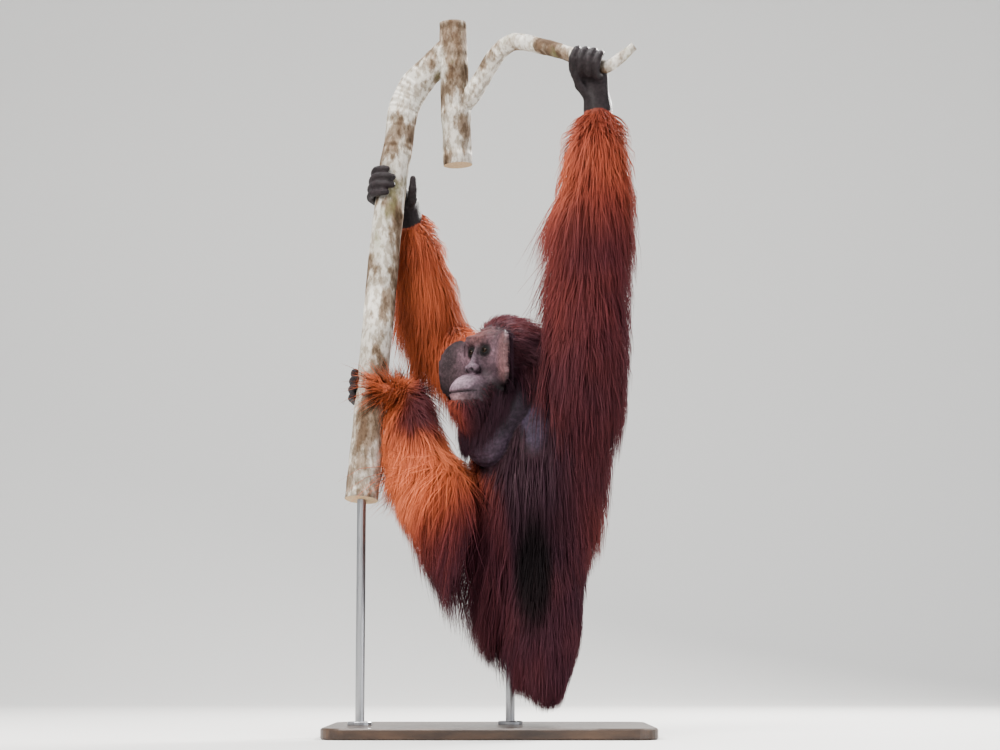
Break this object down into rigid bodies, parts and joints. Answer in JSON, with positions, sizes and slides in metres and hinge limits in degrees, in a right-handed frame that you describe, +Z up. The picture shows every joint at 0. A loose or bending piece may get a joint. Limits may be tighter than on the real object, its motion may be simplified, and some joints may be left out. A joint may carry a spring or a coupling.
{
  "type": "orangutan",
  "caption": "Adult male orangutan with cheek flanges, hanging by one raised arm from a forked bough and gripping it with a hand and a foot, on a display stand",
  "frame": {"origin": "centre of the underside of the stand base", "axes": "+Z up; +X to the viewer's right; -Y towards the viewer, the side the picture was taken from"},
  "size_m": [0.88, 0.7113, 2.041],
  "materials": {
    "coat": "long shaggy red-brown hair, orange on the limbs and maroon on the body",
    "face_skin": "wrinkled grey-brown bare skin",
    "dark_skin": "dark creased bare skin",
    "eye": "wet dark brown",
    "bark": "pale grey bark with brown patches and lichen",
    "base_wood": "dark stained, satin",
    "rod_steel": "satin"
  },
  "bodies": {
    "root": {"head": "face_skin", "eye_left": "eye", "eye_right": "eye", "ear_left": "dark_skin", "ear_right": "dark_skin", "cheek_flange_left": "dark_skin", "cheek_flange_right": "dark_skin", "throat_sac": "dark_skin", "neck": "coat", "torso": "coat", "upper_arm_left": "coat", "forearm_left": "coat", "hand_left": "dark_skin", "upper_arm_right": "coat", "forearm_right": "coat", "hand_right": "dark_skin", "thigh_right": "coat", "shin_right": "coat", "foot_right": "dark_skin", "thigh_left": "coat", "shin_left": "coat", "foot_left": "dark_skin", "perch_trunk": "bark", "perch_fork": "bark", "perch_branch": "bark", "stand_base": "base_wood", "stand_rod_body": "rod_steel", "stand_rod_perch": "rod_steel"}
  },
  "joints": []
}
